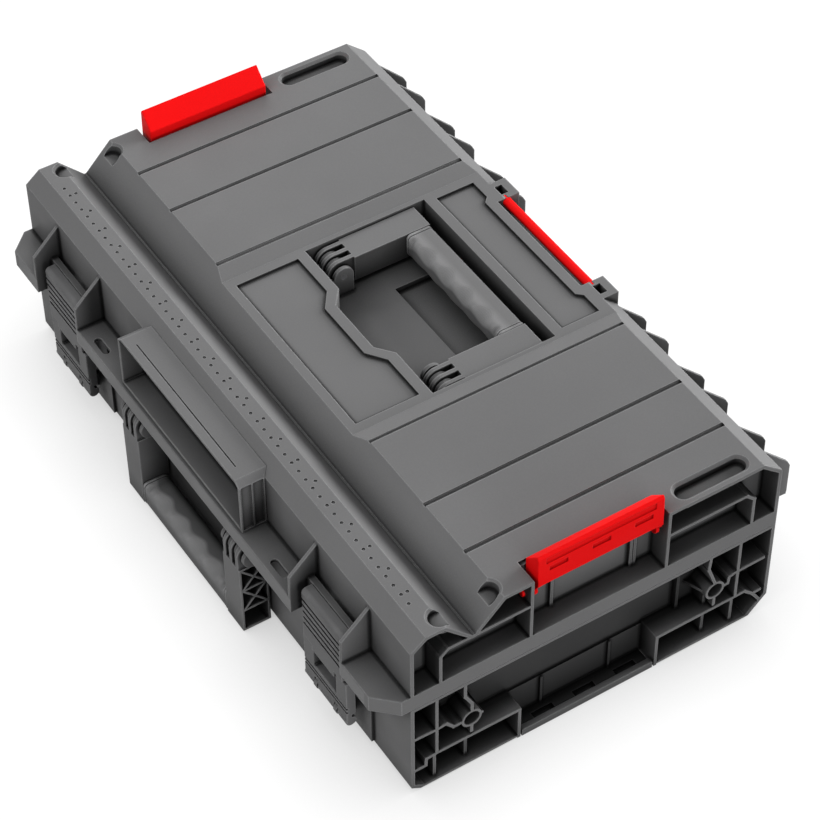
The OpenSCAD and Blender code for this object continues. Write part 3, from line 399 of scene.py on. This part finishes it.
def end_bay_shade(tree, lid_low=1.0, base_low=0.24, rim=3.0, depth=15.0):
    """Painted shade: falls from 1 at the rims of the end bays to lid_low or base_low at their
    walls.
    """
    place = rest_place(tree)
    own = rest_normal(tree)
    along = math_node(tree, "ABSOLUTE", place["X"])
    into = math_node(tree, "SUBTRACT", HALF_LENGTH, along)
    in_bay = math_node(tree, "LESS_THAN", into, BAY_DEPTH * MM)
    across = math_node(tree, "ABSOLUTE", place["Y"])
    inside = math_node(tree, "LESS_THAN", across, WALL_Y - BAY_SIDE * MM)
    under = math_node(tree, "LESS_THAN", place["Z"], BAY_TOP * MM)
    upright = math_node(tree, "LESS_THAN", own["Z"], UPRIGHT)
    below = math_node(tree, "MAXIMUM", under, upright)
    mask = math_node(tree, "MULTIPLY", math_node(tree, "MULTIPLY", in_bay, inside), below)
    low, high = BASE_TO_LID
    deepest = spread(tree, place["Z"], 1.0 - base_low, 1.0 - lid_low, low * MM, high * MM)
    fall = math_node(tree, "MULTIPLY", deepest,
                     spread(tree, into, 0.0, 1.0, rim * MM, depth * MM))
    return math_node(tree, "SUBTRACT", 1.0, math_node(tree, "MULTIPLY", mask, fall))


def body_shade_and_highlight(tree):
    """All painted shades and the painted highlight of the base and the lid, set by place."""
    return math_node(tree, "MULTIPLY", end_bay_shade(tree), front_shade_and_highlight(tree))


def plastic(name, color, roughness, grain=0.06, specular=0.08, reach=30.0, power=1.5, fine=4.0,
            edge=0.8, shade=None):
    """Moulded plastic: fine grain, soft shifts of tone, painted shade in recesses and edges painted
    paler, partly as wear and partly as a painted highlight.
    """
    material = bpy.data.materials.new(name)
    material.use_nodes = True
    tree = material.node_tree
    shader = tree.nodes["Principled BSDF"]
    shader.inputs["Specular IOR Level"].default_value = specular
    place = tree.nodes.new("ShaderNodeTexCoord").outputs["Object"]
    bevel = tree.nodes.new("ShaderNodeBevel")
    bevel.samples = 4
    bevel.inputs["Radius"].default_value = SOFT_EDGE * MM
    # Painted shade in grooves and tight corners
    painted_groove_shade = recess_shade(tree, GROOVE_REACH, fine)
    # Paler edges: partly wear, partly a painted highlight
    wear_and_highlight = math_node(tree, "MULTIPLY", edge_mask(tree, bevel.outputs["Normal"]),
                     spread(tree, noise(tree, place, EDGE_WEAR_AND_HIGHLIGHT_SCALE, 3.0), 0.7, 1.0))
    wear_and_highlight = math_node(tree, "MULTIPLY", wear_and_highlight, painted_groove_shade)
    tone = spread(tree, noise(tree, place, MOTTLE_SCALE, 3.0), 0.96, 1.04)
    speck = spread(tree, noise(tree, place, SPECK_SCALE, 2.0), 0.97, 1.03)
    tone = math_node(tree, "MULTIPLY", tone, speck)
    # Painted shade in wide recesses and where other pieces come near
    painted_recess_shade = recess_shade(tree, reach, power, local=False, darkest=RECESS_DARKEST)
    tone = math_node(tree, "MULTIPLY", tone, painted_recess_shade)
    tone = math_node(tree, "MULTIPLY", tone, painted_groove_shade)
    # Painted shade and painted highlight set by place, on the tone and on the paler edges
    if shade:
        painted_shade_and_highlight = shade(tree)
        tone = math_node(tree, "MULTIPLY", tone, painted_shade_and_highlight)
        wear_and_highlight = math_node(tree, "MULTIPLY", wear_and_highlight, painted_shade_and_highlight)
    # Edges painted paler, partly as wear and partly as a painted highlight
    tone = math_node(tree, "ADD", tone, math_node(tree, "MULTIPLY", wear_and_highlight, edge))
    scaled = tree.nodes.new("ShaderNodeVectorMath")
    scaled.operation = "SCALE"
    scaled.inputs[0].default_value = color
    link(tree, tone, scaled.inputs["Scale"])
    link(tree, scaled.outputs[0], shader.inputs["Base Color"])
    rough = spread(tree, noise(tree, place, ROUGH_SCALE, 4.0),
                   roughness - ROUGH_SHIFT, roughness + ROUGH_SHIFT)
    smoother = math_node(tree, "MULTIPLY", wear_and_highlight, WORN_SMOOTHER)
    rough = math_node(tree, "SUBTRACT", rough, smoother)
    link(tree, rough, shader.inputs["Roughness"])
    bump = tree.nodes.new("ShaderNodeBump")
    bump.inputs["Strength"].default_value = grain
    bump.inputs["Distance"].default_value = GRAIN_HEIGHT * MM
    link(tree, noise(tree, place, GRAIN_SCALE), bump.inputs["Height"])
    link(tree, bevel.outputs["Normal"], bump.inputs["Normal"])
    link(tree, bump.outputs["Normal"], shader.inputs["Normal"])
    return material


def steel(name):
    """Drawn steel wire, brushed round its length."""
    material = bpy.data.materials.new(name)
    material.use_nodes = True
    tree = material.node_tree
    shader = tree.nodes["Principled BSDF"]
    shader.inputs["Base Color"].default_value = (0.6, 0.6, 0.62, 1)
    shader.inputs["Metallic"].default_value = 1.0
    place = tree.nodes.new("ShaderNodeTexCoord").outputs["Object"]
    brushed = noise(tree, place, DRAWN_SCALE, 4.0)
    link(tree, spread(tree, brushed, 0.25, 0.42), shader.inputs["Roughness"])
    return material


def make_looks():
    return {
        "body_plastic": plastic("body_plastic", (0.178, 0.178, 0.180), 0.5, shade=body_shade_and_highlight),
        "latch_plastic": plastic("latch_plastic", (0.15, 0.15, 0.152), 0.45, reach=15.0),
        "handle_plastic": plastic("handle_plastic", (0.185, 0.185, 0.187), 0.5, reach=25.0,
                                  power=2.0, shade=arm_shade),
        "grip_rubber": plastic("grip_rubber", (0.19, 0.19, 0.192), 0.6, grain=0.12, reach=18.0,
                               shade=finger_shade_and_highlight),
        "seal_rubber": plastic("seal_rubber", (0.03, 0.03, 0.03), 0.7, reach=5.0),
        "pin_steel": steel("pin_steel"),
        "red_plastic": plastic("red_plastic", (1.0, 0.006, 0.007), 0.5, grain=0.03, specular=0.05,
                               reach=12.0, power=0.3, fine=1.2, edge=0.05),
    }


# Pieces whose edges are rounded, and how the rounding is done: widths in mm, angles in degrees
ROUNDED = ("front_holder", "top_handle", "front_handle",
           "latch_frame_left", "latch_frame_right", "latch_lever_left", "latch_lever_right",
           "end_latch_left", "end_latch_right")
ROUND_WIDTH = 0.45
WELD_DISTANCE = 0.002
FLAT_ANGLE = 0.5
EDGE_ANGLE = 25


def rounded(node, width, segments=2):
    """Rounds a CAD node's edges for the render, on top of its unchanged mesh."""
    piece = frame["nodes"][node]
    weld = piece.modifiers.new("weld", "WELD")
    weld.merge_threshold = WELD_DISTANCE * MM
    flat = piece.modifiers.new("flat", "DECIMATE")
    flat.decimate_type = "DISSOLVE"
    flat.angle_limit = math.radians(FLAT_ANGLE)
    bevel = piece.modifiers.new("round", "BEVEL")
    bevel.width = width * MM
    bevel.segments = segments
    bevel.limit_method = "ANGLE"
    bevel.angle_limit = math.radians(EDGE_ANGLE)
    bevel.use_clamp_overlap = False


def dress(looks):
    """Gives each CAD node the material of its slot."""
    for row in frame["record"]["subparts"]:
        piece = frame["nodes"][row["node"]]
        piece.data.materials.clear()
        piece.data.materials.append(looks[row["material_slot"]])


# Grips: sleeves with four finger hollows in the outer finger edge and a beaded collar at each end

# Pitch of the hollows, roundings of the section's corners, and depths and widths, in mm
HOLLOW_PITCH = 26.7
CREST_ROUND = 4.0
HOLLOW_ROUND = 12.0
FINGER_ROUND = 9.0
EDGE_ROUND = 3.0
HOLLOW_IN = 0.9
COLLAR = 2.4
COLLAR_GROOVE = 1.0
BODY_IN = 0.3
# Shape of the hollows: power of the wave, height and width of the ridge on each crest, and
# length over which they end at the collars
HOLLOW_POWER = 0.8
CREST_SHARE = 0.22
CREST_WIDTH = 2.2
HOLLOW_END = 5.0
# Collar: inset at its end, width of that rounding, and depth of the groove beside it
COLLAR_IN = 0.5
COLLAR_ROUND = 0.8
GROOVE_DEPTH = 0.7
# Length at each end where the sections lie closer together, and their number there
FINE_END = 8
FINE_STEPS = 24


def smooth(value):
    """Soft step from 0 to 1."""
    value = min(1.0, max(0.0, value))
    return value * value * (3 - 2 * value)


def grip_outline(wide, thick, outer_round, steps=9):
    """Section of a grip from the finger side outwards; outer_round rounds its outer finger edge."""
    corners = [(EDGE_ROUND, wide - EDGE_ROUND, thick - EDGE_ROUND, 0.0),
               (outer_round, outer_round, thick - outer_round, 90.0),
               (FINGER_ROUND, FINGER_ROUND, FINGER_ROUND, 180.0),
               (EDGE_ROUND, wide - EDGE_ROUND, EDGE_ROUND, 270.0)]
    points = []
    for radius, reach, height, first in corners:
        for step in range(steps + 1):
            turn = math.radians(first + 90.0 * step / steps)
            points.append((reach + radius * math.cos(turn), height + radius * math.sin(turn)))
    return points


def hollow_share(x, half):
    """1 in the middle of a finger hollow, 0 on the crests between them and at the collars."""
    wave = 0.5 - 0.5 * math.cos(2 * math.pi * x / HOLLOW_PITCH)
    from_crest = math.remainder(x, HOLLOW_PITCH)
    double_crest = CREST_SHARE * math.exp(-(from_crest / CREST_WIDTH) ** 2)
    inside = smooth((half - COLLAR - COLLAR_GROOVE - abs(x)) / HOLLOW_END)
    return inside * (wave ** HOLLOW_POWER + double_crest)


def inset(x, half):
    """How far the whole section lies inside the collar's."""
    from_end = half - abs(x)
    if from_end < COLLAR:
        return COLLAR_IN * (1 - smooth(from_end / COLLAR_ROUND))
    into = (from_end - COLLAR) / COLLAR_GROOVE
    if into < 1:
        return BODY_IN + GROOVE_DEPTH * math.sin(math.pi * into)
    return BODY_IN


def grip_stations(half, count=120):
    """Places along the grip, closer together at the collars."""
    inner = half - FINE_END
    even = [-inner + 2 * inner * i / (count - 1) for i in range(count)]
    fine = [inner + FINE_END * i / FINE_STEPS for i in range(1, FINE_STEPS + 1)]
    return [-x for x in reversed(fine)] + even + fine


def make_grip(node, body, reach_axis, height_axis, looks):
    """Grip for a CAD grip: reach_axis leaves its finger side, height_axis its inner face."""
    low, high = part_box(node)
    half = high.x / MM
    wide = abs((high - low).dot(reach_axis)) / MM
    thick = abs((high - low).dot(height_axis)) / MM
    origin = Vector((0, low.y if (reach_axis + height_axis).y > 0 else high.y,
                     low.z if (reach_axis + height_axis).z > 0 else high.z))
    mesh = bmesh.new()
    rings = []
    for x in grip_stations(half):
        share = hollow_share(x, half)
        outline = grip_outline(wide, thick, CREST_ROUND + (HOLLOW_ROUND - CREST_ROUND) * share)
        ring = []
        for reach, height in outline:
            aside = Vector((wide / 2 - reach, thick / 2 - height)).normalized() * inset(x, half)
            moved = reach + aside.x + HOLLOW_IN * share * smooth(1 - reach / FINGER_ROUND)
            point = origin + reach_axis * moved * MM + height_axis * (height + aside.y) * MM
            ring.append(mesh.verts.new((x * MM, point.y, point.z)))
        rings.append(ring)
    size = len(rings[0])
    for a, b in zip(rings, rings[1:]):
        for k in range(size):
            mesh.faces.new((a[k], a[(k + 1) % size], b[(k + 1) % size], b[k]))
    mesh.faces.new(rings[0])
    mesh.faces.new(list(reversed(rings[-1])))
    bmesh.ops.recalc_face_normals(mesh, faces=mesh.faces)
    for face in mesh.faces:
        face.smooth = len(face.verts) == 4
    data = bpy.data.meshes.new(node + "_formed")
    mesh.to_mesh(data)
    mesh.free()
    data.materials.append(looks["grip_rubber"])
    piece = bpy.data.objects.new(node + "_formed", data)
    bpy.context.scene.collection.objects.link(piece)
    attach(piece, body)
    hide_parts(node)


make_camera()
make_world()
make_floor()
make_lights()
looks = make_looks()
dress(looks)
for name in ROUNDED:
    rounded(name, ROUND_WIDTH)
make_grip("top_handle_grip", "top_handle", Vector((0, 1, 0)), Vector((0, 0, 1)), looks)
make_grip("front_handle_grip", "front_handle", Vector((0, 0, -1)), Vector((0, -1, 0)), looks)
bpy.context.scene.view_settings.view_transform = "Standard"
